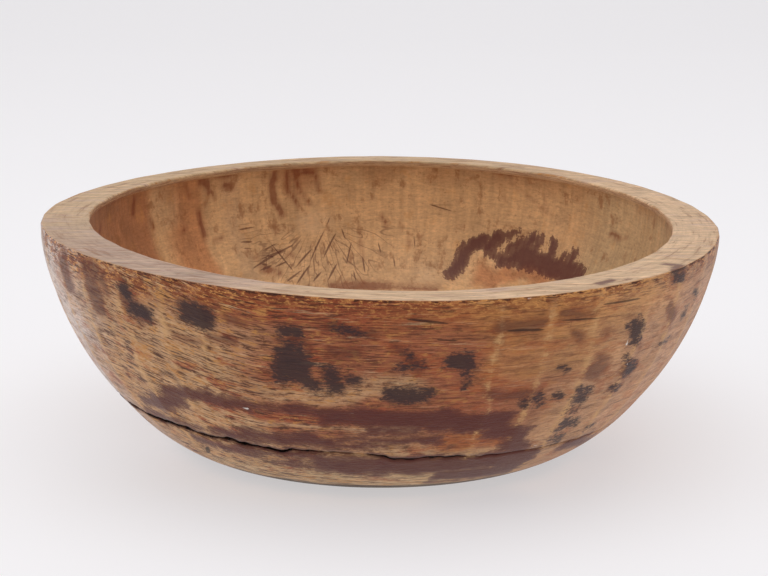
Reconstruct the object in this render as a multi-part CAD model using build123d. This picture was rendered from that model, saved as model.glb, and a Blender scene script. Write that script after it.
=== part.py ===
"""A carved wooden bowl, hewn from one block of timber.

Millimetres, +Z up. The origin is under the middle of the bowl, on the surface that it
stands on, and X runs along the grain of the wood.

The bowl is a single piece of wood. Its outside is chopped in upright flats that run
from the foot to the rim, its hollow is scraped smooth, and its rim is sawn off level
but for a slight fall towards +X. A drying shake, a thin split, runs round the lower
wall on one side.
"""
import os
from math import acos, atan, cos, degrees, hypot, pi, radians, sin

from build123d import *

# The block and the foot
length = 400.0            # rim to rim, along the grain
width = 390.0             # rim to rim, across the grain
height = 134.0            # foot to rim, at the middle of the bowl
rim_fall = 6.6            # the rim is this much lower at +X than at -X
foot_length = 203.0
foot_width = 198.0

# The outside
flats = 40                # upright flats left by the adze
wall_uprightness = 1.56   # a larger power stands the upper wall more upright
foot_flare = 0.61         # a smaller power spreads the wall faster above the foot
three_lobe = 1.5          # the rim's outline is this much out of true, three times round
four_lobe = 1.7           # and this much, four times round

# The hollow
rim_right = 27.6          # breadth of the rim at +X, before its waver
rim_left = 26.0           # at -X
rim_back = 15.5           # at +Y
rim_front = 23.3          # at -Y
rim_waver = 1.8           # the breadth comes and goes by this much, three times round
rim_waver_at = 75.0       # degrees from +X to its first broad place
floor_thickness = 23.0    # wood under the middle of the hollow
hollow_fullness = 2.4     # 2 is an ellipse in section, and more is a squarer corner
level_floor = 0.34        # the hollow's level middle, as a share of its mouth

# The drying shake
shake_height = 34.5       # above the foot, at the middle of the bowl
shake_tilt = 2.0          # degrees that it falls towards +X
shake_depth = 15.0        # into the wood at its deepest
shake_gap = 1.6           # open this much at the surface, where it is deepest
shake_toward = 218.0      # degrees from +X to its deepest place

wall_height = height - rim_fall / 2   # where the wall has reached its full spread
levels = 10               # heights that each curved surface is drawn through
hollow_points = 36        # points round the hollow at each of them
spare = 12.0              # how far a cutter stands clear of what it cuts


def around(count):
    """Evenly spaced angles, in radians, once round the bowl."""
    return [2 * pi * step / count for step in range(count)]


def rim_outline(angle):
    """The outer edge of the rim in plan: an oval, slightly out of true."""
    waver = three_lobe * cos(3 * angle) + four_lobe * (cos(4 * angle) - 1)
    x = (length / 2 - waver) * cos(angle)
    y = (width / 2 - waver) * sin(angle)
    return x + three_lobe, y


def wall_outline(angle, rise):
    """The outside in plan, at a share of the wall's height: 0 is the foot and 1 the rim."""
    spread = (1 - (1 - rise) ** wall_uprightness) ** foot_flare
    rim_x, rim_y = rim_outline(angle)
    foot_x = foot_length / 2 * cos(angle)
    foot_y = foot_width / 2 * sin(angle)
    return foot_x + (rim_x - foot_x) * spread, foot_y + (rim_y - foot_y) * spread


def rim_breadth(angle):
    """Breadth of the rim, from its four named places and its waver."""
    mean = (rim_right + rim_left + rim_back + rim_front) / 4
    ends = (rim_right - rim_left) / 2 * cos(angle)
    sides = (rim_back - rim_front) / 2 * sin(angle)
    oval = (rim_right + rim_left - rim_back - rim_front) / 4 * cos(2 * angle)
    waver = rim_waver * cos(3 * (angle - radians(rim_waver_at)))
    return mean + ends + sides + oval + waver


def hollow_outline(angle, share):
    """The hollow in plan, where it has narrowed to a share of its mouth."""
    x, y = rim_outline(angle)
    keep = share * (1 - rim_breadth(angle) / hypot(x, y))
    return x * keep, y * keep


def make_outside():
    """The hewn block, a little too tall: flats that curve out from the foot."""
    slices = []
    for step in range(levels + 1):
        rise = (1 - cos(pi * step / levels)) / 2
        corners = [wall_outline(angle, rise) for angle in around(flats)]
        slices.append(Plane.XY.offset(rise * wall_height) * make_face(Polyline(*corners, close=True)))
    return loft(slices) + extrude(slices[-1], amount=rim_fall + spare)


def make_hollow():
    """What was scooped out: a full, level-floored hollow that stands up past the rim."""
    depth = height - floor_thickness
    power = 2 / hollow_fullness
    last_turn = acos(level_floor ** (1 / power))
    slices = []
    for step in range(levels + 1):
        turn = last_turn * step / levels
        drop = depth * (sin(turn) / sin(last_turn)) ** power
        points = [hollow_outline(angle, cos(turn) ** power) for angle in around(hollow_points)]
        slices.append(Plane.XY.offset(height - drop) * make_face(Spline(*points, periodic=True)))
    slices.reverse()
    return loft(slices) + extrude(slices[-1], amount=rim_fall + spare)


def make_shake():
    """The split: a wedge turned about an upright axis that stands off the bowl's middle.

    The axis stands back from the split's deepest place by the split's depth, so the
    wedge bites deepest there and runs out a quarter of a turn to either side.
    """
    toward = radians(shake_toward)
    wall = hypot(*wall_outline(toward, shake_height / wall_height))
    reach = shake_depth + spare
    half_gap = shake_gap / 2 * reach / shake_depth
    wedge = Polyline((wall, 0), (wall + reach, half_gap), (wall + reach, -half_gap), close=True)
    ring = Rot(0, shake_tilt, 0) * revolve(Plane.XZ * make_face(wedge), Axis.Z)
    return Pos(-shake_depth * cos(toward), -shake_depth * sin(toward), shake_height) * ring


def make_bowl():
    """The block, sawn off at the rim, hollowed, and split by the shake."""
    bowl = make_outside() - make_hollow() - make_shake()
    rim_tilt = degrees(atan(rim_fall / length))
    saw = Plane(origin=(0, 0, height)).rotated((0, rim_tilt, 0))
    return split(bowl, bisect_by=saw, keep=Keep.BOTTOM)


os.makedirs("parts", exist_ok=True)
export_step(make_bowl(), "parts/bowl.step")
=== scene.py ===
"""Looks of a carved wooden bowl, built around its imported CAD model.

The bowl is one piece of wood, so it is one closed surface: a grid that runs once round
the bowl one way, and the other way from the middle of the foot up the wall, over the
rim and down into the hollow. Lengths are in millimetres until they go into the mesh.
"""

from math import acos, cos, pi, radians, sin

import bpy
import numpy as np
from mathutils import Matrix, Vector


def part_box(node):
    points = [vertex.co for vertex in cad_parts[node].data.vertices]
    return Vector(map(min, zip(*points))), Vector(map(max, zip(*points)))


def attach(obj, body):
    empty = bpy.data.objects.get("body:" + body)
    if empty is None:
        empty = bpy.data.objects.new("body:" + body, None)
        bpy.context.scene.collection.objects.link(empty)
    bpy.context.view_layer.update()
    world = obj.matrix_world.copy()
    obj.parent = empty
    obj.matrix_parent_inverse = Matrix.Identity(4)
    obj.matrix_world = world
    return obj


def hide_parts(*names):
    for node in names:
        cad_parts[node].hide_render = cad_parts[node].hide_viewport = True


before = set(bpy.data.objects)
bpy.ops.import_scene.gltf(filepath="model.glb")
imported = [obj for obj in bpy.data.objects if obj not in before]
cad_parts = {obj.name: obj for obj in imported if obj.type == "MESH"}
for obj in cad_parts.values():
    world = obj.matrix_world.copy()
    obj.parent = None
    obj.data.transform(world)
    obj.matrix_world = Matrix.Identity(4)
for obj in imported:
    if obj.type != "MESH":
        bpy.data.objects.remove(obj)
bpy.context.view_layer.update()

MM = 0.001
low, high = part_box("bowl")
LENGTH = (high.x - low.x) / MM
WIDTH = (high.y - low.y) / MM
RIM_FALL = 6.6    # the rim is this much lower at +X than at -X
HEIGHT = high.z / MM - RIM_FALL / 2    # foot to rim, at the middle of the bowl
WALL_HEIGHT = HEIGHT - RIM_FALL / 2    # where the wall has its full spread
FOOT_LENGTH = 203.0
FOOT_WIDTH = 198.0
FLOOR_THICKNESS = 23.0
WALL_RADIUS = 180    # of the upper wall, for what is measured round it
FLATS = 40    # upright flats left by the adze
FLOOR_SHARE = 0.34    # the level floor's share of the hollow, in plan
AROUND = 640    # columns of the grid
FAR = 60.0    # further from a mark than anything shows


# ---- arithmetic

def wave(angle, turns, at):
    """A cosine that repeats so many times round the bowl and peaks at some degrees."""
    return np.cos(turns * (angle - radians(at)))


def ease(value, start, end):
    """0 before start, 1 past end, and a smooth rise between them."""
    t = np.clip((value - start) / (end - start), 0, 1)
    return t * t * (3 - 2 * t)


def lumps(x, y, seed, wrap=256):
    """Smooth noise from -1 to 1: random values at whole numbers, eased between them.

    It repeats in x after wrap, so a whole number of lumps closes round the bowl.
    """
    table = np.random.default_rng(seed).uniform(-1, 1, (64, wrap))
    x0 = np.floor(x).astype(int)
    y0 = np.floor(y).astype(int)
    fx = ease(x - x0, 0, 1)
    fy = ease(y - y0, 0, 1)
    below = table[y0 % 64, x0 % wrap] * (1 - fx) + table[y0 % 64, (x0 + 1) % wrap] * fx
    above = table[(y0 + 1) % 64, x0 % wrap] * (1 - fx) + table[(y0 + 1) % 64, (x0 + 1) % wrap] * fx
    return below * (1 - fy) + above * fy


def bumps(angle, count, seed, height=0.0, tall=1.0):
    """Smooth noise on the bowl: so many lumps once round, each so many millimetres tall."""
    return lumps(angle / (2 * pi) * count, height / tall, seed, count)


# ---- the bowl's shape

def rim_outline(angle):
    """The rim's outer edge in plan: an oval, out of true by a three- and a four-fold wave."""
    waver = 1.5 * np.cos(3 * angle) + 1.7 * (np.cos(4 * angle) - 1)
    return (LENGTH / 2 - waver) * np.cos(angle) + 1.5, (WIDTH / 2 - waver) * np.sin(angle)


def rim_breadth(angle):
    """Broad at the ends of the grain, narrow at the back, and a little uneven."""
    return 23.1 + 0.8 * wave(angle, 1, 0) - 3.9 * wave(angle, 1, 90) + 3.7 * wave(angle, 2, 0) \
        + 1.8 * wave(angle, 3, 75)


def rim_height(angle, x):
    """The sawn top: a plane that falls towards +X, warped by a millimetre or so."""
    return HEIGHT - RIM_FALL * x / LENGTH + 0.75 * wave(angle, 2, 45) - 1.35 * wave(angle, 3, 30)


def wall_outline(angle, height):
    """The wall in plan: from foot to rim outline by 1 - (1 - rise)^1.56, to the power 0.61."""
    rise = np.clip(height / WALL_HEIGHT, 0, 1)
    spread = (1 - (1 - rise) ** 1.56) ** 0.61
    rim_x, rim_y = rim_outline(angle)
    foot_x = FOOT_LENGTH / 2 * np.cos(angle)
    foot_y = FOOT_WIDTH / 2 * np.sin(angle)
    return foot_x + (rim_x - foot_x) * spread, foot_y + (rim_y - foot_y) * spread


def flat_position(angle):
    """Where an angle falls among the adze's flats, which are not all of one width."""
    uneven = 0.1 * wave(angle, 3, 20) + 0.08 * wave(angle, 7, 100) + 0.06 * wave(angle, 13, 300)
    return FLATS * angle / (2 * pi) - 0.9 + uneven


def adze_depth(angle, height):
    """How far the adze cut in: a shallow scoop across each flat, uneven from flat to flat.

    The scoop is 4 u (1 - u) across a flat. It fades out above the foot and lessens to the rim.
    """
    place = flat_position(angle)
    number = np.floor(place)
    across = place - number
    slow = lumps(number + 0.5, height / 60 + 3, 5, FLATS)
    quick = lumps(number + 0.5, height / 17, 6, FLATS)
    bite = 0.95 + 0.5 * slow + 0.25 * quick
    return 4 * across * (1 - across) * bite * ease(height, 8, 50) * (1 - 0.55 * ease(height, 90, 130))


SPLIT_HEIGHT = 34.6    # of the split's plane, at the middle of the bowl
SPLIT_SLOPE = 0.036    # how steeply that plane falls towards +X
SPLIT_RADIUS = 150    # the wall's radius there
# The split, listed point by point: degrees round from +X, how far it steps off its plane, and its gap.
SPLIT_COURSE = [
    (140, 0.0, 0.0), (160, 0.2, 1.2), (185, 0.5, 2.4), (205, 1.0, 3.0), (222, 1.4, 2.6), (232, 0.5, 2.0),
    (240, 0.6, 2.2), (244, -0.6, 1.9), (250, -1.4, 1.5), (252, -0.2, 1.2), (257, 0.5, 0.8),
    (259, 1.2, 0.3), (266, 1.0, 0.25), (269, 0.5, 0.7), (271, 0.1, 1.1), (272.6, -1.7, 1.2),
    (277, -1.6, 1.0), (278.4, -0.6, 1.0), (283, -0.9, 0.7), (290, -1.1, 0.5), (300, -0.6, 0.15),
    (316, 0.0, 0.0),
]


def shake_height(angle):
    """The split's height: a plane that falls towards +X, stepped and jagged where it is open."""
    turn = np.degrees(angle) % 360
    at, step, gap = np.array(SPLIT_COURSE).T
    plane = SPLIT_HEIGHT - SPLIT_SLOPE * SPLIT_RADIUS * np.cos(angle)
    jag = 0.6 * bumps(angle, 130, 11) + 0.55 * bumps(angle, 290, 12)
    return plane + np.interp(turn, at, step) + jag * np.interp(turn, at, ease(gap, 0, 0.5))


def shake_gap(angle):
    """How wide the split stands open: most at the left, nearly shut in the middle of the front."""
    turn = np.degrees(angle) % 360
    at, _, gap = np.array(SPLIT_COURSE).T
    uneven = 1 + 0.6 * bumps(angle, 180, 21)
    return 0.12 + 0.8 * np.interp(turn, at, gap) * uneven


def hollow_outline(angle, turn):
    """The hollow in plan and its drop: a superellipse of power 2.4, level in the middle."""
    power = 2 / 2.4
    last = acos(FLOOR_SHARE ** (1 / power))
    share = np.cos(turn * last) ** power
    drop = (HEIGHT - FLOOR_THICKNESS) * (np.sin(turn * last) / sin(last)) ** power
    x, y = rim_outline(angle)
    keep = share * (1 - rim_breadth(angle) / np.hypot(x, y))
    return x * keep, y * keep, drop


def foot_rows(angle):
    """Under the foot, from its middle to its edge, hewn very slightly hollow."""
    rows = []
    for share in (0.02, 0.12, 0.25, 0.4, 0.55, 0.7, 0.83, 0.93, 0.98):
        x = FOOT_LENGTH / 2 * share * np.cos(angle)
        y = FOOT_WIDTH / 2 * share * np.sin(angle)
        hewn = 0.5 + 0.3 * lumps(x / 22 + 9, y / 30 + 9, 31)
        rows.append((x, y, hewn * (1 - ease(share, 0.75, 0.98))))
    return rows


def hand_unevenness(angle, height):
    """The hand's small ups and downs on the wall, a third of a millimetre at most."""
    return 0.3 * bumps(angle, 26, 8, height, 35) * ease(height, 6, 30)


def wall_point(angle, height, inset):
    """A point of the wall at a height, set in by the adze's cut and by some more."""
    x, y = wall_outline(angle, height)
    keep = 1 - (adze_depth(angle, height) + hand_unevenness(angle, height) + inset) / np.hypot(x, y)
    return x * keep, y * keep, height


def wall_rows(angle):
    """Up the wall: below the split, the split's own groove, then on up to the rim's edge.

    The groove narrows inwards, to 7 mm deep where the split gapes and next to nothing where
    it is shut.
    """
    middle = shake_height(angle)
    gap = shake_gap(angle)
    deep = 7.0 * ease(gap, 0.2, 1.5) + 0.2
    rows = []
    for share in np.linspace(0, 1, 17)[:-1] ** 1.5:
        rows.append(wall_point(angle, share * (middle - gap / 2), 0))
    for side, inset in ((-1, 0), (-0.85, 0.3), (-0.3, 1), (0.3, 1), (0.85, 0.3), (1, 0)):
        rows.append(wall_point(angle, middle + side * gap / 2, inset * deep))
    top = edge_height(angle)
    for share in np.linspace(0, 1, 45)[1:-1]:
        rows.append(wall_point(angle, middle + gap / 2 + share * (top - middle - gap / 2), 0))
    return rows


def edge_height(angle):
    """Where the wall begins to turn over into the rim."""
    x, _ = rim_outline(angle)
    return rim_height(angle, x) - edge_wear(angle)


def edge_wear(angle):
    """How far the rim's outer edge is worn round: about a millimetre, with nicks."""
    return 1.0 + 0.3 * bumps(angle, 48, 41) + 0.15 * bumps(angle, 150, 42)


def rim_rows(angle):
    """Over the rim: a worn outer edge, the sawn flat, and a worn inner edge.

    Each edge is a quarter turn whose radius is its wear. The flat lies between them, with
    saw marks a tenth of a millimetre high.
    """
    x, y = rim_outline(angle)
    cut = adze_depth(angle, WALL_HEIGHT) + hand_unevenness(angle, WALL_HEIGHT)
    keep = 1 - cut / np.hypot(x, y)
    x, y = x * keep, y * keep
    breadth = rim_breadth(angle)
    outer = edge_wear(angle)
    inner = 1.2 + 0.4 * bumps(angle, 60, 43)
    steps = []
    for turn in np.linspace(0, pi / 2, 6):
        steps.append((outer * (1 - cos(turn)), outer * (1 - sin(turn)), 0))
    for share in np.linspace(0, 1, 12)[1:-1]:
        steps.append((outer + (breadth - outer - inner) * share, 0, 0.12))
    for turn in np.linspace(0, pi / 2, 5):
        steps.append((breadth - inner * (1 - sin(turn)), inner * (1 - cos(turn)), 0))
    rows = []
    for inward, down, sawn in steps:
        at_x = x * (1 - inward / np.hypot(x, y))
        at_y = y * (1 - inward / np.hypot(x, y))
        rows.append((at_x, at_y, rim_height(angle, x) - down + sawn * lumps(at_x / 30, at_y / 3.5, 44)))
    return rows


def hollow_rows(angle):
    """Down into the hollow and across its floor to the middle, with shallow scraper marks.

    Across the floor, what is left of the rise falls as the square of the share of the way out.
    """
    rows = []
    lip, _ = rim_outline(angle)
    for turn in np.linspace(0.03, 1, 46) ** 1.2:
        x, y, drop = hollow_outline(angle, turn)
        lift = (rim_height(angle, lip) - HEIGHT) * (1 - drop / HEIGHT)
        scrape = 0.45 * bumps(angle, 44, 51, drop, 50) * ease(drop, 2, 20)
        keep = 1 + scrape / np.hypot(x, y)
        rows.append((x * keep, y * keep, HEIGHT - drop + lift))
    last_x, last_y, last_z = rows[-1]
    for share in (0.8, 0.6, 0.42, 0.26, 0.12, 0.02):
        rise = (last_z - FLOOR_THICKNESS) * share ** 2
        rows.append((last_x * share, last_y * share, FLOOR_THICKNESS + rise))
    return rows


def make_grid():
    """All rows from under the foot to the middle of the hollow, as one array of points.

    Also gives each row's stretch: 0 under the foot, 1 on the wall, 2 on the rim, 3 in the
    hollow. The rim's rounded outer edge counts as wall, as it has the wall's finish.
    """
    angle = np.arange(AROUND) * 2 * pi / AROUND
    rim = rim_rows(angle)
    stretches = [foot_rows(angle), wall_rows(angle) + rim[:4], rim[4:], hollow_rows(angle)]
    rows = []
    for part in stretches:
        for row in part:
            rows.append(np.stack([np.broadcast_to(across, angle.shape) for across in row], -1))
    part_of = np.repeat(np.arange(4), [len(part) for part in stretches])
    return angle, np.array(rows), part_of


# ---- marks on the wood
# Each mark is a stroke: from one place to another, each in degrees round from +X and
# millimetres above the table, and half its width in millimetres.

# Char in broken bands above and below the split, and one band of painted shade along it.
CHAR_AND_CRACK_SHADE_OUTSIDE = [
    (219, 52, 227, 55, 3.5), (224, 55, 231, 61, 5.5), (229, 65, 238, 69, 5), (238, 67, 246, 65, 4.2),
    (246, 65.5, 254, 66, 3), (254, 65, 262, 64, 4.5), (261, 62.5, 282, 60, 6.5), (280, 58, 292, 56, 7.5),
    (291, 51, 297, 45, 6.5), (296, 41, 300, 28, 7), (262.6, 46.6, 280, 46, 3.4),
    (262, 41.4, 271, 41, 2.2), (243, 45, 252, 43, 4.5), (250, 44, 260, 45, 5.2), (259, 40, 268, 40, 2.2),
    # The stroke from 217 to 246 degrees, just above the split, is painted shade along the crack, in the
    # char's colour.
    (268, 54, 276, 52, 3.5), (217, 43.5, 246, 41.5, 2.6), (228, 31, 244, 30, 3.2),
    (240, 33, 262, 31.5, 3.6), (258, 27, 303, 25, 8), (246, 24, 258, 24, 2.5), (284, 16, 303, 14, 6),
    (313, 27, 320, 26, 4.5), (320, 24, 326, 21, 3.5), (330, 15, 344, 11, 3), (344, 12, 358, 16, 2),
    (14, 30, 24, 36, 2.4), (24, 38, 38, 46, 3.6), (38, 47, 52, 50, 5), (52, 52, 66, 52, 3),
    (58, 58, 74, 60, 4), (72, 55, 92, 50, 6), (90, 48, 106, 50, 4.6), (104, 53, 116, 58, 3),
    (112, 46, 128, 42, 5), (126, 40, 142, 41, 3.4), (80, 33, 100, 28, 4), (98, 26, 118, 24, 5.6),
    (116, 22, 130, 25, 3), (142, 44, 150, 49, 2), (156, 22, 170, 25, 3), (168, 26, 176, 31, 2),
    (194, 28, 206, 31, 2.6),
]
# One ring of char on the right of the hollow, with tongues that lick upwards.
CHAR_INSIDE = [
    (73, 67.6, 71.4, 75, 5.4), (71, 76, 67.6, 86, 5.6), (66, 82, 64.4, 88, 5.6), (64.6, 79, 62, 77, 3.4),
    (63, 89, 59.8, 92.4, 3.4), (62, 75, 59, 76.4, 4.4), (61, 80, 57.6, 87, 3.4),
    (58.4, 78, 55.4, 80, 5.4), (56.8, 84, 55.6, 90, 4), (54.4, 84, 53.8, 89, 3.6),
    (56, 77.5, 51, 75.4, 7), (50.4, 80, 50.2, 88, 3.6), (51, 74.6, 43, 74.6, 6.8),
    (46.6, 80, 46.2, 82.6, 3.4), (44.4, 81, 44, 85, 3.2), (43, 74.4, 40.4, 74.8, 4),
]
# Blotches of smoke and tar up the wall.
SMOKE_OUTSIDE = [
    (226, 127, 226.8, 124, 3), (228, 114.6, 230.6, 113.6, 3.8), (239, 119.6, 241.4, 117.6, 6),
    (237.6, 122, 238.4, 121, 2), (254.6, 114.4, 257, 113, 2.8), (255, 95, 256.4, 93, 8.6),
    (257, 99, 257.6, 98, 4.6), (253.8, 88, 255.8, 87, 4.2), (258, 84, 258.8, 82, 3),
    (255.4, 105, 256.4, 104, 2), (262, 91, 262.3, 82, 4), (264.8, 86.4, 265.8, 85, 2.2),
    (263.4, 115.4, 266, 114.6, 1.5), (272.2, 94.6, 273.4, 93.4, 1.5), (275.4, 96.6, 276.6, 96, 1.2),
    (273.6, 105, 274.6, 100, 1.6), (271.8, 77, 276.4, 77, 4.4), (275, 80, 277.4, 79.4, 1.8),
    (281.8, 97.4, 283.4, 95.6, 5), (283, 90, 283.6, 84, 2), (294, 70, 294.6, 67, 1.7),
    (296.6, 69.4, 297.6, 66, 2.2), (300.6, 70, 301.6, 68.6, 1.3), (300, 87.4, 300.8, 84.6, 1.8),
    (306, 67, 307.4, 65.6, 4.4), (305.6, 57.6, 307, 56.4, 1.4), (306, 45.6, 308.8, 44.8, 3.2),
    (306.6, 35.8, 308.4, 35, 2), (313.4, 105, 314, 97, 4.2), (315, 79.4, 317, 77, 2.6),
    (314.6, 67.4, 316, 66.8, 1.3), (313.6, 83.4, 314, 82, 1.4), (314.6, 39.4, 317, 39, 1.0),
    (323, 86.4, 326.4, 86, 1.0), (329.4, 102, 330.4, 101, 1.8), (331.4, 112, 333, 108, 1.7),
    (321.9, 128.4, 324.4, 126.6, 3.4), (350, 118, 351, 112, 3), (353, 111, 355, 108, 2),
    (2, 92, 4, 84, 5), (7, 88, 8, 86, 2.6), (13, 121, 15, 119, 4), (21, 104, 22, 98, 3),
    (33, 112, 36, 110, 6), (38, 101, 39, 99, 2.4), (44, 86, 45, 76, 4), (47, 80, 48, 79, 2),
    (55, 96, 56, 94, 2), (63, 118, 64, 110, 5), (68, 114, 70, 113, 2.6), (79, 90, 83, 88, 7),
    (85, 79, 86, 77, 3), (96, 104, 97, 101, 2.4), (101, 122, 105, 121, 3), (108, 96, 109, 84, 5),
    (112, 84, 113, 82, 2), (124, 112, 127, 111, 6.6), (129, 101, 130, 98, 3), (139, 76, 142, 75, 3.6),
    (146, 103, 147, 95, 4), (151, 98, 152, 97, 1.8), (159, 122, 161, 117, 4), (169, 90, 171, 88, 5),
    (174, 83, 175, 82, 2), (183, 112, 184, 108, 3), (190, 76, 193, 75, 3),
]
# Stains, browner and fainter than the smoke.
STAIN_OUTSIDE = [
    (208.6, 130, 209, 118, 6.4), (217.6, 130, 218.4, 112, 7.6), (221, 130, 221.4, 120, 3),
    (226.4, 120, 229, 112, 6), (246, 117, 248, 116, 3.4), (262, 103.4, 266.4, 103, 3.4),
    (262, 117, 268, 114, 3.6), (272, 106, 276, 94, 3.4), (254, 108, 258, 107, 3),
    (306.4, 82, 308.4, 80, 5.6), (306.6, 90, 308.6, 87, 3.4), (301, 107, 302, 105, 3),
    (307, 106.4, 308, 105.4, 2.2), (314.6, 79, 317.4, 76, 4.6), (314, 67.4, 317, 67, 2.4),
    (288, 74, 296, 73, 3.2), (305.8, 58, 307, 56, 3), (315, 94, 316.4, 90, 3), (242, 106, 246, 104, 2.6),
    (236, 103, 240, 101, 2.2), (288, 117, 294, 116, 4.4), (298, 119, 303, 118, 3),
    (322, 110, 325, 104, 4), (20, 70, 30, 66, 6), (60, 84, 70, 80, 7), (108, 112, 114, 104, 7),
    (150, 80, 158, 74, 7), (180, 104, 186, 96, 6),
]
# On the rim the second value of a place is how far in from the outer edge it lies.
SMOKE_RIM = [
    (321.6, 0, 324.6, 4, 3.4), (324.6, 4, 324, 11, 2.6), (306.4, 8, 309, 10, 3), (311, 6, 312, 6, 1.4),
]
# Small white dots of painted highlight: glints of light on the shiny surface, laid into the colour.
PAINTED_GLINTS = [
    (312.6, 96, 313, 93, 0.7), (313.6, 91.4, 314.2, 91, 0.5), (323.4, 118.6, 323.8, 117, 0.6),
    (314.4, 84, 315, 80, 0.4), (291.8, 130.6, 293.6, 130, 0.4), (264.6, 64.4, 265.2, 64.2, 0.5),
    (278, 59.2, 278.3, 59, 0.3), (302, 34.4, 303.4, 32.8, 0.4), (244.6, 62.6, 246, 63, 0.5),
    (230.8, 124.6, 231, 124, 0.6), (322, 113, 322.3, 112, 0.3),
]
# Stains in the hollow: arcs left of the knot, runs at the left, and small spots elsewhere.
STAIN_INSIDE = [
    (112.8, 130, 113.6, 121, 2.6), (113.6, 121, 113.4, 111, 3), (113.2, 111, 111.8, 102, 2.4),
    (110.4, 130, 110.2, 116, 2), (110, 116, 108, 107, 1.8), (108.6, 128, 107.4, 115, 1.6),
    (107.2, 115, 105.6, 108, 1.4), (109, 130, 104.8, 129, 2.6), (104, 126, 103.8, 122, 1.6),
    (103.7, 118, 103.4, 116.4, 1.6), (131.2, 109, 130.7, 94, 2.1), (113.9, 94, 113.8, 93.8, 1.9),
    (129.8, 129, 128.6, 128, 3.2), (128.4, 125, 128, 121, 2.2), (127.2, 122, 126.8, 117, 1.2),
    (124.2, 124, 122.8, 123, 3.0), (126.6, 131, 121, 130, 1.4), (129.2, 114, 129, 114, 1),
    (135.4, 101, 136.4, 99, 1.6), (128.4, 90, 126.6, 91, 1.2), (119, 70, 115, 67, 2),
    (120, 77, 119, 76, 1.1), (111.6, 77, 111, 76, 1.4), (134, 128, 133, 120, 1.4),
    (103, 57.5, 88, 57, 2.6), (88, 57, 76, 56, 1.8), (60, 131, 54, 130, 2.4), (66, 130, 62, 129, 1.4),
    (35, 102.6, 32, 101.6, 2), (30, 103, 29, 104, 1), (90.2, 98, 89.2, 93, 1.4),
    (86, 92.6, 85.6, 91.6, 1), (84.4, 84, 83.6, 81, 1), (64, 115, 63.4, 112, 0.8),
    (62.6, 124, 54, 108, 0.3), (55.2, 120, 53, 106, 0.4), (95, 84, 94.6, 72, 0.8),
    (145, 112, 144.6, 106, 1.2), (150, 128, 151, 118, 2), (168, 121, 170, 118, 2.4),
    (197, 98, 199, 92, 2), (233, 110, 236, 108, 2.6), (262, 84, 264, 83, 1.4), (296, 121, 300, 119, 2.6),
    (334, 104, 335, 98, 2), (352, 92, 354, 90, 1.6),
]
# Thin drying slits. The last value is the full width where a slit is widest. Slits of one
# list keep clear of each other by 8 mm, so that each place has only one that is near.
SLITS_OUTSIDE = [
    (273.4, 122.6, 280, 119.4, 1.5), (278, 110.6, 281.5, 109.4, 0.8), (289, 113.6, 295, 112.4, 1.6),
    (297.6, 116.6, 304.6, 114.6, 1.2), (305, 122.2, 313, 121.2, 1.2), (229.6, 27, 226.6, 20, 2.6),
    (30, 100, 38, 98.5, 1.3), (86, 120, 94, 118, 1.4), (110, 72, 118, 70.5, 1.2),
    (146, 104, 153, 103, 1.2), (62, 84, 69, 82.6, 1.1), (186, 62, 196, 60, 1.0),
]
SLITS_INSIDE = [
    [(121.4, 70.6, 110.2, 82.4, 1.3), (107, 71.6, 102.8, 90, 1.1), (98.4, 69.6, 97, 82, 1.2),
     (83, 86, 82.6, 79, 0.8), (80, 106.4, 75, 102.4, 1.0), (114, 61.6, 109.6, 67, 1.0),
     (122.2, 94.6, 118, 95.4, 0.8)],
    [(115.4, 84.4, 111.6, 67.4, 1.1), (103.6, 74, 100.3, 88, 1.3), (94.6, 73, 94.2, 64, 1.0),
     (122.4, 87, 119.4, 86.4, 0.8), (107.4, 60.6, 104.6, 66, 1.0), (91, 82, 90.4, 76, 0.8)],
    [(118.4, 75.6, 113.4, 79.4, 1.1), (110.6, 69.4, 106, 79.4, 1.2), (103.6, 60.6, 100.8, 69.6, 1.2),
     (119.4, 69.4, 116.4, 71.4, 1.2), (99, 91, 98.4, 85, 0.9), (87.4, 73, 87, 68, 0.9)],
    [(111.4, 60.4, 107.4, 69.4, 1.2), (115.6, 70.4, 112.4, 73, 1.1), (117.4, 80.6, 114, 84, 0.9),
     (102.4, 92, 101.4, 98, 0.8), (97, 66, 96.6, 60, 0.9), (121.8, 83, 120, 82.4, 0.8)],
]


def stroke_field(degrees, height, radius, strokes):
    """How deep inside the nearest stroke each point lies, in millimetres, negative outside.

    A stroke has blunt ends: the depth is its half width less the cube root of the sum of
    the cubes of how far a point lies aside of the stroke and past its end.
    """
    depth = np.full(degrees.shape, -FAR)
    per_degree = radius * pi / 180
    for start, start_height, end, end_height, half_width in strokes:
        run_x, run_y = (end - start) * per_degree, end_height - start_height
        reach = np.hypot(run_x, run_y) + 0.001
        to_x = ((degrees - start + 180) % 360 - 180) * per_degree
        to_y = height - start_height
        along = (to_x * run_x + to_y * run_y) / reach
        aside = (to_y * run_x - to_x * run_y) / reach
        past = np.maximum(np.abs(along - reach / 2) - reach / 2, 0)
        depth = np.maximum(depth, half_width - (np.abs(aside) ** 3 + past ** 3) ** (1 / 3))
    return depth


SLIT_REACH = 3.4    # how far to each side of a slit, and 3 mm past its ends, it is measured
NO_SLIT = 9.0    # the distance given where none is near


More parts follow.
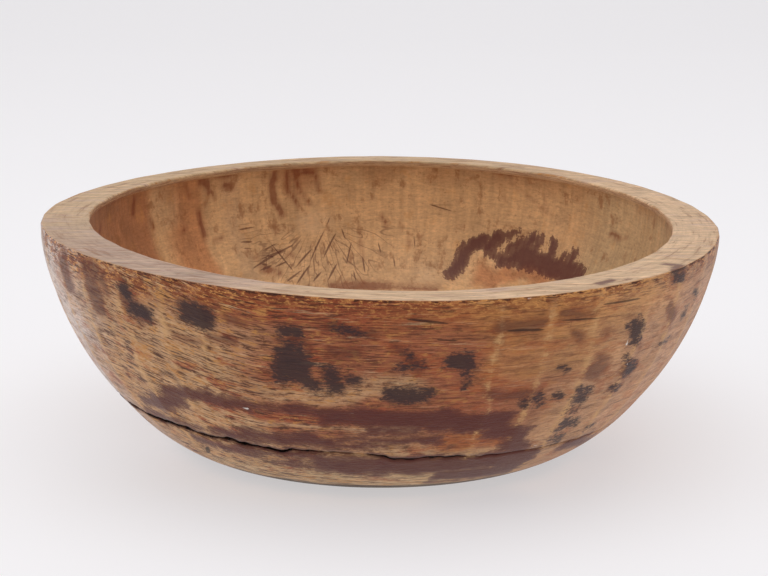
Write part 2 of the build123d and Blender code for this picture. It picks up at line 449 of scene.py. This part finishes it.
def slit_fields(degrees, height, radius, slits):
    """For thin slits: the signed distance across the nearest, and its half width there.

    The half width tapers to each end as the root of 1 - (2 t - 1)^2, and is 0 away from slits.
    """
    across = np.full(degrees.shape, NO_SLIT)
    half = np.zeros(degrees.shape)
    per_degree = radius * pi / 180
    for start, start_height, end, end_height, width in slits:
        run_x, run_y = (end - start) * per_degree, end_height - start_height
        reach = np.hypot(run_x, run_y)
        to_x = ((degrees - start + 180) % 360 - 180) * per_degree
        to_y = height - start_height
        along = (to_x * run_x + to_y * run_y) / reach ** 2
        aside = (to_y * run_x - to_x * run_y) / reach
        taper = width / 2 * np.clip(1 - (2 * along - 1) ** 2, 0, 1) ** 0.5
        near = (np.abs(aside) < SLIT_REACH) & (along > -3 / reach) & (along < 1 + 3 / reach)
        across = np.where(near, aside, across)
        half = np.where(near, taper, half)
    return across, half


def srgb(code):
    """A colour's hex code as linear red, green and blue."""
    value = np.array([int(code[i:i + 2], 16) for i in (1, 3, 5)]) / 255
    return np.where(value > 0.04045, ((value + 0.055) / 1.055) ** 2.4, value / 12.92)


def between(degrees, start, full, end, gone):
    """1 from full to end, easing in from start and out to gone, in degrees."""
    return ease(degrees, start, full) * (1 - ease(degrees, end, gone))


def layered(base, shape, layers, share=1.0):
    """A base colour with each layer's colour laid over it, by its cover times a share."""
    tone = np.zeros(shape + (3,)) + srgb(base)
    for code, cover in layers:
        cover = (np.clip(cover, 0, 1) * share)[..., None]
        tone = tone * (1 - cover) + srgb(code) * cover
    return tone


def wall_tone(degrees, height):
    """The wall's broad colours, with their borders broken up by lumps.

    Straw, rust-red in front and less so behind, a pinker tan on the right, a pale painted
    reflection at the left end, and stripes of straw, rust and amber between the bands of char.
    """
    angle = np.radians(degrees)
    rough = 6 * bumps(angle, 40, 61, height, 22) + 3 * bumps(angle, 110, 63, height, 9)
    turn = degrees + 0.7 * rough
    lift = height + 0.8 * rough
    return layered(STRAW, degrees.shape, (
        (ROSY_TAN, between(turn, 296, 322, 361, 400) + between(turn, -40, -1, 24, 60)),
        (ROSY_TAN, 0.8 * between(turn, 146, 184, 204, 222)),
        # Painted reflection: the left end is paled where the bright room reflects off it at a grazing angle.
        (PAINTED_REFLECTION, 0.8 * between(turn, 142, 184, 200, 222)),
        (RUST, 0.82 * between(turn, 236, 256, 286, 314) * ease(lift, 30, 60)),
        (RUST, 0.7 * between(turn, 40, 70, 110, 150) * ease(lift, 30, 60)),
        (RUST, 0.7 * between(turn, 224, 244, 288, 316) * ease(lift, 104, 122)),
        # The bright gold at the top of the wall, in front and to the right, is partly the wood's own gold
        # and partly painted light. It lightens the upper wall, which faces sideways and gets little light
        # from overhead.
        (BRIGHT_GOLD, 0.42 * between(turn, 264, 290, 316, 328) * ease(lift, 98, 122)),
        (GOLD, 0.45 * between(turn, 284, 290, 300, 320) * ease(lift, 76, 92)),
        (STRAW, 0.8 * between(turn, 244, 252, 270, 280) * (1 - ease(np.abs(lift - 78), 3, 10))),
        (RUST, 0.8 * between(turn, 234, 243, 264, 272) * (1 - ease(np.abs(lift - 59), 3, 8))),
        (AMBER, 0.9 * between(turn, 278, 283, 294, 300) * (1 - ease(np.abs(lift - 44), 4, 9))),
        (PALE, 0.6 * between(turn, 243, 247, 272, 278) * (1 - ease(np.abs(height - 54.2), 0.6, 2.6))),
        (STRAW, 0.8 * between(turn, 226, 232, 240, 250) * (1 - ease(np.abs(lift - 52), 4, 9))),
        (PALE, 0.9 * between(turn, 222, 232, 280, 292) * (1 - ease(height, 17, 24))),
    ))


def rim_tone(degrees):
    """The sawn rim: pale buff, a little purple round the left, and greyer behind."""
    return layered(BUFF, degrees.shape, (
        (MAUVE_GREY, 0.6 * between(degrees, 176, 206, 240, 262)),
        (GREY_TAN, 0.45 * between(degrees, 30, 80, 190, 215)),
    ))


def torn_grain(degrees):
    """How torn and open the grain is: most in front on the left, less behind, least at the ends."""
    front = between(degrees, 200, 222, 248, 308)
    behind = between(degrees, 30, 60, 120, 160)
    return 0.25 + 0.75 * front + 0.5 * behind


KNOT = (104, 97)    # the hollow's knot: degrees round from +X, and height
PER_DEGREE = 2.9    # millimetres that a degree measures round the hollow beside the knot


def knot_haze(degrees, height):
    """A pale bloom over the knot, and another low down beside the ring of char."""
    over_knot = np.hypot((degrees - 105) * PER_DEGREE / 14, (height - 96) / 9)
    by_char = np.hypot((degrees - 79) * PER_DEGREE / 12, (height - 64) / 7)
    return (1 - ease(over_knot, 0.4, 1.2)) + (1 - ease(by_char, 0.3, 1.2))


def checked(degrees, height):
    """Where the fan of fine drying checks runs: below and beside the knot, not on it."""
    across = (KNOT[0] - degrees) * PER_DEGREE
    down = KNOT[1] - height
    reach = np.hypot(across, down)
    return ease(reach, 10, 18) * (1 - ease(reach, 38, 56)) * ease(down + 0.2 * np.abs(across), 4, 16)


def hollow_tone(degrees, height):
    """The hollow: warm tan at the back, red-brown to the left, grey-tan to the right.

    The colours other than the warm tan fade out towards the floor.
    """
    angle = np.radians(degrees)
    rough = 3 * bumps(angle, 60, 62, height, 30) + 1.5 * bumps(angle, 150, 64, height, 12)
    turn = degrees + 0.5 * rough
    lift = height + 2 * rough
    return layered(HONEY, degrees.shape, (
        (RED_BROWN, 0.85 * between(turn, 141, 147, 200, 236)),
        (AMBER, 0.55 * between(turn, 128, 131, 137, 142)),
        (STRAW, 0.7 * between(turn, 118.5, 120.5, 123.5, 126)),
        (STRAW, 0.5 * between(turn, 135, 138, 142, 144) * ease(lift, 100, 112)),
        (STRAW, 0.4 * between(turn, 72, 76, 84, 90) * (1 - ease(lift, 60, 90))),
        (GREY_TAN, 0.8 * between(turn, -30, -4, 34, 48) + 0.8 * between(turn, 320, 350, 390, 400)),
        (DARK_TAN, 0.5 * ease(lift, 116, 132)),
        (RED_BROWN, 0.4 * between(turn, 100, 105, 110, 114) * ease(lift, 108, 128)),
        (AMBER, 0.6 * between(degrees, 44, 50, 66, 69) * (1 - ease(np.abs(lift - 69), 3, 9))),
    ), ease(height, 28, 62))


# ---- colours
STRAW = "#C89E74"
ROSY_TAN = "#C5946F"
# The pale of the painted reflection at the left end.
PAINTED_REFLECTION = "#EBDFD8"
RUST = "#9A4528"
AMBER = "#AC5C2A"
BUFF = "#E2BC94"
MAUVE_GREY = "#A88C84"
HONEY = "#D2A474"
RED_BROWN = "#A06440"
DARK_TAN = "#8E5A34"
GREY_TAN = "#BFA078"
GOLD = "#C4884A"
BRIGHT_GOLD = "#DC9C56"
PALE = "#DDBC90"
RIDGE = "#D8A870"
UMBER = "#4E2818"
CHAR = "#582620"
SMOKE = "#3A2626"
STAIN = "#743218"
SLIT = "#1C0E0A"
CHECK = "#56281A"
TORN_FIBRE = "#86421F"
# The white of the painted glints.
PAINTED_GLINT_WHITE = "#F4ECE2"


def store(mesh, name, kind, key, values):
    """Writes a value for each point of the grid, and the first column's for the two middles."""
    values = np.concatenate([values.reshape(-1, *values.shape[2:]), values[0, :1], values[-1, :1]])
    mesh.attributes.new(name, kind, "POINT").data.foreach_set(key, values.reshape(-1).astype(np.float32))


def make_bowl():
    """Builds the closed mesh, its three surfaces, and the fields that the finishes read.

    Squares join each row to the next, and a fan of triangles closes the middle of the foot
    and of the floor. A square between two surfaces belongs to the inner one.
    """
    angle, grid, part_of = make_grid()
    count = len(grid)
    points = grid.reshape(-1, 3)
    foot_middle = [[0, 0, grid[0, :, 2].mean()]]
    floor_middle = [[0, 0, grid[-1, :, 2].mean()]]
    points = np.concatenate([points, foot_middle, floor_middle])

    here = np.arange(AROUND)
    after = (here + 1) % AROUND
    row = np.arange(count - 1)[:, None] * AROUND
    corners = [row + here, row + after, row + AROUND + after, row + AROUND + here]
    quads = np.stack(corners, -1).reshape(-1, 4)
    first_fan = np.stack([after, here, 0 * here + len(points) - 2], -1)
    top = (count - 1) * AROUND
    last_fan = np.stack([top + here, top + after, 0 * here + len(points) - 1], -1)

    mesh = bpy.data.meshes.new("carved_bowl")
    mesh.from_pydata(points * MM, [], quads.tolist() + first_fan.tolist() + last_fan.tolist())
    surface = np.repeat([0, 0, 1, 2], [np.sum(part_of == k) for k in range(4)])
    of_quads = np.repeat(np.maximum(surface[:-1], surface[1:]), AROUND)
    of_faces = np.concatenate([of_quads, np.zeros(AROUND, int), np.full(AROUND, 2)])
    mesh.polygons.foreach_set("material_index", of_faces.astype(np.int32))
    mesh.polygons.foreach_set("use_smooth", np.ones(len(of_faces), bool))

    degrees = np.broadcast_to(np.degrees(angle), grid.shape[:2])
    radius = np.maximum(np.hypot(grid[..., 0], grid[..., 1]), 20)
    height = grid[..., 2]
    inward = rim_inward(angle, grid)
    on_wall = (part_of <= 1)[:, None]
    on_rim = (part_of == 2)[:, None]

    def choose(wall, rim, hollow):
        """A value for the wall and foot, one for the rim, and one for the hollow."""
        return np.where(on_wall, wall, np.where(on_rim, rim, hollow))

    # Where a mark is looked up wanders by a millimetre or two, so that its edge is uneven.
    turn = degrees + 0.7 * bumps(angle, 90, 71, height, 7) + 0.3 * bumps(angle, 250, 72, height, 3)
    lift = height + 1.8 * bumps(angle, 100, 73, height, 6) + 0.8 * bumps(angle, 220, 74, height, 3)
    below_rim = rim_height(angle, grid[..., 0]) - height
    fields = {
        "char": choose(stroke_field(turn, lift, radius, CHAR_AND_CRACK_SHADE_OUTSIDE), -FAR,
                       stroke_field(turn, lift, radius, CHAR_INSIDE)),
        "smoke": choose(stroke_field(turn, lift, radius, SMOKE_OUTSIDE),
                        stroke_field(degrees, inward, radius, SMOKE_RIM), -FAR),
        "stain": choose(stroke_field(turn, lift, radius, STAIN_OUTSIDE), -FAR,
                        stroke_field(degrees, height, radius, STAIN_INSIDE)),
        "ridge": choose(ridge_field(angle, height), -FAR, -FAR),
        "split": choose(split_field(angle, height), -FAR, -FAR),
        "torn": choose(torn_grain(degrees), 0, 0),
        "haze": choose(0, 0, knot_haze(degrees, height)),
        "checked": choose(0, 0, checked(degrees, height)),
        # The lowest part of the wall and a ring under the foot's edge are painted dark, as the shadow where
        # the bowl meets the table.
        "from_foot": choose(height + np.maximum(FOOT_WIDTH / 2 - radius, 0), FAR, FAR),
        # Small white dots of painted highlight, for glints on the surface.
        "painted_glint": choose(stroke_field(degrees, height, radius, PAINTED_GLINTS), -FAR, -FAR),
        "from_edge": choose(0, np.minimum(inward, rim_breadth(angle) - inward + 1.5), 0),
        "below_rim": choose(below_rim, 0, below_rim),
        # The torn fringe under the rim reaches lowest in front on the left.
        "fringe": choose(below_rim + 3 - 8 * between(degrees, 190, 204, 238, 252), FAR, FAR),
    }
    outside = slit_fields(degrees, height, radius, SLITS_OUTSIDE)
    for number, slits in enumerate(SLITS_INSIDE):
        inside = slit_fields(degrees, height, radius, slits)
        fields["slit_%d" % number] = choose(outside[0], -FAR, inside[0])
        fields["slit_half_%d" % number] = choose(outside[1], 0, inside[1])
    for name, field in fields.items():
        store(mesh, name, "FLOAT", "value", field)

    rim_or_hollow = np.where(on_rim[..., None], rim_tone(degrees), hollow_tone(degrees, height))
    tone = np.where(on_wall[..., None], wall_tone(degrees, height), rim_or_hollow)
    tone = np.concatenate([tone, np.ones(tone.shape[:2] + (1,))], -1)
    store(mesh, "tone", "FLOAT_COLOR", "color", tone)
    knot = np.stack([(KNOT[0] - degrees) * PER_DEGREE, height - KNOT[1], 0 * height], -1)
    store(mesh, "from_knot", "FLOAT_VECTOR", "vector", knot)
    store(mesh, "around", "FLOAT_VECTOR", "vector", figure_place(grid, degrees, radius, inward, choose))
    mesh.update()
    return bpy.data.objects.new("carved_bowl", mesh)


def figure_place(grid, degrees, radius, inward, choose):
    """Where each point lies for the wood's figure, in millimetres.

    On upright wood it is a place on a round wall and the height, or the way in across the
    rim, so that the figure runs round the bowl. On the floor and under the foot it turns into
    x and y, with x shortened so that the figure is drawn out along the grain. On the left of
    the wall the fibres dip by up to 24 mm.
    """
    height = grid[..., 2]
    dip = 24 * (1 - ease(grid[..., 0], -175, -50))
    upright = choose(ease(height, 0, 30), 1, ease(height, 26, 75))
    spread = radius + (WALL_RADIUS - radius) * upright
    along = spread * np.cos(np.radians(degrees)) * (0.35 + 0.65 * upright)
    aside = spread * np.sin(np.radians(degrees))
    return np.stack([along, aside, choose(height - dip, inward, height)], -1)


def rim_inward(angle, grid):
    """How far in from the rim's outer edge each point lies, in plan."""
    x, y = rim_outline(angle)
    return np.hypot(x, y) - np.hypot(grid[..., 0], grid[..., 1])


def ridge_field(angle, height):
    """Distance to the nearest ridge between two of the adze's flats, in millimetres.

    It wanders a little up the wall. Round the middle of the front 5 mm is added, as the
    ridges there are stained over.
    """
    place = flat_position(angle) + 0.09 * bumps(angle, 40, 75, height, 16)
    width = 2 * pi * WALL_RADIUS / FLATS
    stained = between(np.degrees(angle), 238, 250, 277, 285)
    return np.abs(place - np.round(place)) * width + 5 * stained


def split_field(angle, height):
    """How far outside the split a point lies, up or down, less where it is shut."""
    gap = shake_gap(angle)
    return np.abs(height - shake_height(angle)) - gap / 2 + 6 * (1 - ease(gap, 0.1, 0.5))


# ---- finishes

def node(tree, kind, sockets=None, take=0, **settings):
    """Adds a node with its settings, each socket given a value or linked, and returns an output."""
    made = tree.nodes.new("ShaderNode" + kind)
    for name, value in settings.items():
        setattr(made, name, value)
    for socket, value in (sockets or {}).items():
        if isinstance(value, bpy.types.NodeSocket):
            tree.links.new(value, made.inputs[socket])
        else:
            made.inputs[socket].default_value = value
    return made.outputs[take]


def figure(tree, place, size, detail=4.0, rough=0.65):
    """The wood's figure: noise stretched until one lump measures so many millimetres each way.

    The noise keeps near its middle, one half, so the thresholds it is read with do too.
    """
    spread = node(tree, "Mapping", {"Vector": place, "Scale": [1 / s for s in size]})
    return node(tree, "TexNoise", {"Vector": spread, "Scale": 1.0, "Detail": detail, "Roughness": rough})


def shaded(tree, colour, *figures):
    """Darkens and lightens a colour by each figure, from one factor to another."""
    for noise, dark, light in figures:
        factor = node(tree, "MapRange", {"Value": noise, "From Min": 0.3, "From Max": 0.7,
                                         "To Min": dark, "To Max": light})
        colour = node(tree, "VectorMath", {0: colour, "Scale": factor}, operation="SCALE")
    return colour


def ragged(tree, depth, *noises):
    """A depth in millimetres, pushed in and out by each noise, by its reach at the very most."""
    depth = node(tree, "Math", {0: depth, 1: -sum(reach for _, reach in noises)}, operation="ADD")
    for noise, reach in noises:
        depth = node(tree, "Math", {0: noise, 1: 2 * reach, 2: depth}, operation="MULTIPLY_ADD")
    return depth


def coated(tree, colour, *coats):
    """Lays coats of colour one over another.

    Each coat has its colour, a depth or noise, the value of that where the coat is bare, the
    value where it is full, and how thick its full cover is.
    """
    for code, depth, bare, full, cover in coats:
        share = node(tree, "MapRange", {"Value": depth, "From Min": bare, "From Max": full, "To Max": cover},
                     interpolation_type="SMOOTHSTEP")
        sockets = {"Factor": share, 6: colour, 7: (*srgb(code), 1)}
        colour = node(tree, "Mix", sockets, take=2, data_type="RGBA")
    return colour


def slit_coats(tree, colour, code, count, broken):
    """Darkens the thin drying slits of the first so many lists, their edges broken by a noise."""
    for number in range(count):
        across = node(tree, "Attribute", take="Fac", attribute_name="slit_%d" % number)
        half = node(tree, "Attribute", take="Fac", attribute_name="slit_half_%d" % number)
        aside = node(tree, "Math", {0: across}, operation="ABSOLUTE")
        inside = node(tree, "Math", {0: half, 1: aside}, operation="SUBTRACT")
        there = node(tree, "MapRange", {"Value": half, "From Min": 0.03, "From Max": 0.25, "To Max": 0.75})
        inside = ragged(tree, inside, (broken, 0.7))
        colour = coated(tree, colour, (code, inside, -0.3, 0.3, there))
    return colour


def new_wood(name):
    """A new material with its shader, and the tree that its nodes go into."""
    material = bpy.data.materials.new(name)
    material.use_nodes = True
    return material, material.node_tree


def hewn_wall():
    """Dense hardwood, adzed, smoked over a fire and rubbed with oil and handling.

    The grain shows as short dark dashes, torn and open on the left, and closed to a
    satin skin on the right. Char lies on it as a thin dark film with ragged edges.
    """
    material, tree = new_wood("adzed_hardwood_smoked")
    around = node(tree, "Attribute", take="Vector", attribute_name="around")
    colour = node(tree, "Attribute", take="Color", attribute_name="tone")
    torn, ridge, smoke, stain, char = [
        node(tree, "Attribute", take="Fac", attribute_name=name)
        for name in ("torn", "ridge", "smoke", "stain", "char")]
    split, below_rim, fringe, from_foot, painted_glint = [
        node(tree, "Attribute", take="Fac", attribute_name=name)
        for name in ("split", "below_rim", "fringe", "from_foot", "painted_glint")]
    # Bands of darker and lighter wood are about 20 mm broad, patches of oil and handling as
    # large as a thumb, and the mottle within them half of that.
    broad = figure(tree, around, (45, 45, 20))
    patch = figure(tree, around, (24, 24, 9), 6, 0.7)
    mottle = figure(tree, around, (10, 10, 4.5), 6, 0.72)
    # Growth rings cut by the wall lie about 2 mm apart. The pores are 0.2 mm wide and 4 mm
    # long, and torn fibres 0.4 mm wide, too fine to show, so both are drawn two to four
    # times as large.
    streak = figure(tree, around, (26, 26, 1.9), 5, 0.7)
    dash = figure(tree, around, (9, 9, 0.8), 3, 0.6)
    speck = figure(tree, around, (2.8, 2.8, 1.1), 3, 0.7)

    colour = shaded(tree, colour, (broad, 0.84, 1.12), (streak, 0.76, 1.2), (speck, 0.86, 1.12))
    some = node(tree, "Math", {0: torn, 1: 0.85}, operation="MULTIPLY")
    less = node(tree, "Math", {0: torn, 1: 0.6}, operation="MULTIPLY")
    colour = coated(
        tree, colour,
        (AMBER, patch, 0.5, 0.62, 0.35), (UMBER, patch, 0.47, 0.33, 0.35), (RUST, patch, 0.54, 0.64, some),
        (GOLD, mottle, 0.53, 0.62, some), (RED_BROWN, mottle, 0.5, 0.42, 0.35),
        (UMBER, mottle, 0.45, 0.35, some), (GOLD, dash, 0.54, 0.64, less), (UMBER, dash, 0.48, 0.4, some),
        (UMBER, streak, 0.42, 0.32, 0.55), (PALE, streak, 0.56, 0.68, less))

    # The ridges between the adze's flats are rubbed pale, and the edge under the rim is torn.
    worn = ragged(tree, ridge, (mottle, 6), (speck, 5), (patch, 5))
    near = node(tree, "MapRange", {"Value": fringe, "From Min": 15, "From Max": 4, "To Max": 0.8})
    notch = ragged(tree, below_rim, (mottle, 3.5), (speck, 3))
    colour = coated(
        tree, colour,
        (RIDGE, worn, 2.8, -2.4, 0.75), (TORN_FIBRE, mottle, 0.55, 0.47, near),
        (BRIGHT_GOLD, speck, 0.53, 0.62, near), (UMBER, dash, 0.46, 0.38, near),
        (SLIT, notch, 0.7, -0.1, 0.7))

    # Stain, smoke and char each have a thin ragged edge and a thicker middle.
    stain = ragged(tree, stain, (mottle, 5), (streak, 4), (patch, 3), (speck, 3))
    smoke = ragged(tree, smoke, (mottle, 7), (dash, 3), (streak, 4), (speck, 6))
    char = ragged(tree, char, (patch, 4.5), (mottle, 7), (streak, 5), (dash, 3), (speck, 3))
    colour = coated(
        tree, colour,
        (STAIN, stain, -2, 1, 0.5), (SMOKE, stain, 0, 3, 0.4), (SMOKE, smoke, -2.4, -0.2, 0.55),
        (SMOKE, smoke, -0.6, 1.4, 0.85), (CHAR, char, -0.8, 0.4, 0.64), (CHAR, char, 0.4, 3.6, 0.8))

    # The slits and the split are dark inside and darker along the split's edges, and a contact shadow is
    # painted round the foot.
    colour = slit_coats(tree, colour, SLIT, 1, dash)
    colour = coated(
        tree, colour,
        (CHAR, ragged(tree, split, (dash, 1.5), (mottle, 1)), 2, 0.2, 0.75),
        (SLIT, ragged(tree, split, (speck, 1.2), (dash, 0.8)), 0.3, -0.3, 0.95),
        # Painted contact shadow: the lowest part of the wall and a ring under the foot's edge are darkened.
        (SLIT, ragged(tree, from_foot, (mottle, 4)), 9, 6, 0.8),
        # Painted glints: small white dots of highlight laid into the colour.
        (PAINTED_GLINT_WHITE, ragged(tree, painted_glint, (speck, 0.5)), -0.3, 0.3, 0.85))

    relief = ragged(tree, 0.0, (streak, 0.15), (mottle, 0.3), (patch, 0.3), (dash, 0.15), (speck, 0.1))
    gloss = node(tree, "MapRange", {"Value": char, "From Min": -1, "From Max": 1,
                                    "To Min": 0.52, "To Max": 0.44})
    finish_with(tree, colour, relief, gloss)
    return material


def sawn_rim():
    """The same wood sawn across the bowl's mouth and left bare.

    It looks pale and matt, with long straight streaks along the grain, fine dark lines where
    dirt has settled in the pores, and saw marks. Its edges are worn to a golden brown.
    """
    material, tree = new_wood("sawn_hardwood_bare")
    place = node(tree, "TexCoord", take="Object")
    wood = node(tree, "VectorMath", {0: place, "Scale": 1 / MM}, operation="SCALE")
    around = node(tree, "Attribute", take="Vector", attribute_name="around")
    colour = node(tree, "Attribute", take="Color", attribute_name="tone")
    smoke = node(tree, "Attribute", take="Fac", attribute_name="smoke")
    edge = node(tree, "Attribute", take="Fac", attribute_name="from_edge")
    # Colour bands are 12 mm broad, growth rings 2.6 mm, and saw marks about 3 mm apart. Lines
    # of pores are 0.3 mm wide and pits 0.5 mm, too fine to show, so both are drawn four or
    # five times as wide.
    broad = figure(tree, wood, (45, 12, 60), 5, 0.65)
    streak = figure(tree, wood, (30, 2.6, 60), 6, 0.7)
    line = figure(tree, wood, (22, 1.4, 60), 4, 0.65)
    drag = figure(tree, around, (30, 30, 3.2), 5, 0.65)
    pit = figure(tree, wood, (5, 2, 60), 4, 0.65)

    colour = shaded(tree, colour, (streak, 0.64, 1.2), (broad, 0.8, 1.1), (drag, 0.76, 1.12),
                    (pit, 0.86, 1.1))
    colour = coated(
        tree, colour,
        (MAUVE_GREY, broad, 0.54, 0.66, 0.5), (DARK_TAN, drag, 0.44, 0.34, 0.6),
        (DARK_TAN, line, 0.45, 0.34, 0.7), (DARK_TAN, pit, 0.38, 0.28, 0.7), (PALE, line, 0.57, 0.68, 0.5),
        (GOLD, ragged(tree, edge, (pit, 4), (drag, 6)), 2, -1.5, 0.75),
        (TORN_FIBRE, ragged(tree, edge, (pit, 2.4), (drag, 3)), -0.1, -1, 0.75),
        (CHAR, ragged(tree, smoke, (pit, 5), (line, 3)), -1.5, 2, 0.8))

    relief = ragged(tree, 0.0, (streak, 0.15), (line, 0.1), (pit, 0.08))
    gloss = node(tree, "MapRange", {"Value": streak, "From Min": 0.3, "From Max": 0.7,
                                    "To Min": 0.5, "To Max": 0.62})
    finish_with(tree, colour, relief, gloss)
    return material


def scraped_hollow():
    """The same wood scraped smooth and polished by use.

    It looks warm and even, with upright scraper marks, a fan of fine checks by the knot,
    red-brown stains and a ring of char.
    """
    material, tree = new_wood("scraped_hardwood_worn")
    around = node(tree, "Attribute", take="Vector", attribute_name="around")
    colour = node(tree, "Attribute", take="Color", attribute_name="tone")
    haze, checks, stain, char, below_rim = [
        node(tree, "Attribute", take="Fac", attribute_name=name)
        for name in ("haze", "checked", "stain", "char", "below_rim")]
    # Colour bands are 24 mm broad, clouds of wear 10 mm, scraper marks 5 mm and growth rings
    # 2 mm. Pores and the upright lick of the char are finer than a millimetre, too fine to
    # show, so they are drawn 1.2 and 2.2 mm wide.
    broad = figure(tree, around, (36, 36, 24), 5, 0.65)
    streak = figure(tree, around, (12, 12, 2.2), 5, 0.7)
    scrape = figure(tree, around, (5, 5, 60), 5, 0.65)
    pore = figure(tree, around, (2.6, 2.6, 1.2), 3, 0.6)
    cloud = figure(tree, around, (10, 10, 13), 6, 0.7)
    hatch = figure(tree, around, (2.2, 2.2, 9), 4, 0.65)

    colour = shaded(tree, colour, (broad, 0.84, 1.14), (streak, 0.86, 1.12), (scrape, 0.84, 1.14),
                    (pore, 0.84, 1.1))
    bloom = node(tree, "Math", {0: haze, 1: 0.3}, operation="MULTIPLY")
    colour = coated(
        tree, colour,
        (DARK_TAN, cloud, 0.46, 0.34, 0.6), (GOLD, cloud, 0.54, 0.68, 0.35),
        (DARK_TAN, pore, 0.36, 0.26, 0.5), (BUFF, cloud, 0.36, 0.56, bloom))

    # Fine checks fan out from the knot: thin lines where a noise, read by bearing, is one half.
    around_knot = node(tree, "Attribute", take="Vector", attribute_name="from_knot")
    reach = node(tree, "VectorMath", {0: around_knot}, take="Value", operation="LENGTH")
    across = node(tree, "SeparateXYZ", {0: around_knot}, take=0)
    down = node(tree, "SeparateXYZ", {0: around_knot}, take=1)
    bearing = node(tree, "Math", {0: down, 1: across}, operation="ARCTAN2")
    fan = node(tree, "CombineXYZ", {0: bearing, 1: reach})
    rays = figure(tree, fan, (0.16, 22, 1), 1.5, 0.5)
    off_ray = node(tree, "Math", {0: rays, 1: 0.5}, operation="SUBTRACT")
    off_ray = node(tree, "Math", {0: off_ray}, operation="ABSOLUTE")
    there = node(tree, "Math", {0: checks, 1: 0.5}, operation="MULTIPLY")
    colour = coated(tree, colour, (CHECK, off_ray, 0.03, 0.006, there))

    # Stain has run down from the rim in tongues, and lies in spots and arcs.
    runs = ragged(tree, below_rim, (cloud, 14), (broad, 8), (hatch, 2))
    stain = ragged(tree, stain, (cloud, 2.6), (hatch, 1.2), (pore, 0.8))
    char = ragged(tree, char, (cloud, 4), (hatch, 4), (pore, 3))
    colour = coated(
        tree, colour,
        (STAIN, runs, 4, -4, 0.6), (STAIN, stain, -2.2, 1.6, 0.45), (STAIN, stain, 0.3, 1.6, 0.5),
        (CHAR, char, -0.6, 0.6, 0.8), (CHAR, char, 1, 3.5, 0.6))
    colour = slit_coats(tree, colour, CHECK, 4, cloud)

    relief = ragged(tree, 0.0, (scrape, 0.25), (streak, 0.06), (cloud, 0.12))
    gloss = node(tree, "MapRange", {"Value": char, "From Min": -1, "From Max": 1,
                                    "To Min": 0.48, "To Max": 0.4})
    finish_with(tree, colour, relief, gloss)
    return material


def finish_with(tree, colour, relief, roughness):
    """Sets the wood's shader from its colour, its relief in millimetres and its roughness.

    Wood has an index near 1.5 and oiled wood a roughness of 0.4 to 0.6. The highlight is held
    back to half, and a little sheen stands for the fuzz of worn fibres.
    """
    bump = node(tree, "Bump", {"Height": relief, "Distance": MM, "Strength": 0.8})
    shader = tree.nodes["Principled BSDF"]
    for socket, value in (("Base Color", colour), ("Roughness", roughness), ("Normal", bump)):
        tree.links.new(value, shader.inputs[socket])
    shader.inputs["IOR"].default_value = 1.45
    shader.inputs["Specular IOR Level"].default_value = 0.25
    shader.inputs["Sheen Weight"].default_value = 0.08
    shader.inputs["Sheen Roughness"].default_value = 0.4


# ---- floor, light and camera

def make_floor():
    """A pale studio sweep: level under the bowl, curving up behind it by a quarter turn.

    It glows a little, as paper on a light table does, so the ground under the bowl stays pale.
    """
    front, bend_start, bend_radius, top, half_width = -3000, 1600, 900, 4000, 4000
    along = np.linspace(0, pi / 2, 60)
    run = np.concatenate([[front], bend_start + bend_radius * np.sin(along), [bend_start + bend_radius]])
    rise = np.concatenate([[0], bend_radius * (1 - np.cos(along)), [top]])
    points = [(x * MM, y * MM, z * MM) for x in (-half_width, half_width) for y, z in zip(run, rise)]
    count = len(run)
    faces = [(i, i + count, i + count + 1, i + 1) for i in range(count - 1)]
    mesh = bpy.data.meshes.new("studio_sweep")
    mesh.from_pydata(points, [], faces)
    mesh.polygons.foreach_set("use_smooth", [True] * len(faces))
    floor = bpy.data.objects.new("studio_sweep", mesh)
    paper = bpy.data.materials.new("matt_white_paper")
    paper.use_nodes = True
    shader = paper.node_tree.nodes["Principled BSDF"]
    shader.inputs["Base Color"].default_value = (*srgb("#ACACAE"), 1)
    shader.inputs["Roughness"].default_value = 0.9
    shader.inputs["Specular IOR Level"].default_value = 0.2
    shader.inputs["Emission Color"].default_value = (*srgb("#F7F4F5"), 1)
    shader.inputs["Emission Strength"].default_value = 0.56
    mesh.materials.append(paper)
    bpy.context.scene.collection.objects.link(floor)


def make_lights():
    """A broad overhead light, two side panels, and a white room all round.

    Each light has its place in metres, its turn in degrees, its side in metres and its watts.
    """
    for name, place, turn, size, power in (
        ("overhead", (0.0, -0.25, 1.8), (0, 0, 0), 2.2, 21),
        ("left_panel", (-1.8, -0.3, 0.8), (0, -68, 10), 1.2, 6),
        ("right_panel", (1.8, -0.3, 0.8), (0, 68, -10), 1.2, 3),
    ):
        lamp = bpy.data.lights.new(name, "AREA")
        lamp.size = size
        lamp.energy = power
        light = bpy.data.objects.new(name, lamp)
        light.location = place
        light.rotation_euler = [radians(a) for a in turn]
        bpy.context.scene.collection.objects.link(light)
    room = bpy.data.worlds.new("white_room")
    room.use_nodes = True
    room.node_tree.nodes["Background"].inputs["Color"].default_value = (0.95, 0.96, 1.0, 1)
    room.node_tree.nodes["Background"].inputs["Strength"].default_value = 0.38
    bpy.context.scene.world = room


def make_camera():
    """Looks down 13.8 degrees at the bowl's middle from 1.42 m, through a long lens."""
    lens = bpy.data.cameras.new("camera")
    lens.lens = 110.7
    lens.sensor_width = 36
    camera = bpy.data.objects.new("camera", lens)
    tilt = radians(13.8)
    aim_x, aim_z, away = 2.3 * MM, 91.3 * MM, 1416 * MM
    camera.location = (aim_x, -away * cos(tilt), aim_z + away * sin(tilt))
    camera.rotation_euler = (pi / 2 - tilt, 0, 0)
    bpy.context.scene.collection.objects.link(camera)
    bpy.context.scene.camera = camera


bowl = make_bowl()
bpy.context.scene.collection.objects.link(bowl)
for make in (hewn_wall, sawn_rim, scraped_hollow):
    bowl.data.materials.append(make())
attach(bowl, "root")
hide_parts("bowl")

make_floor()
make_lights()
make_camera()
bpy.context.scene.view_settings.view_transform = "Standard"
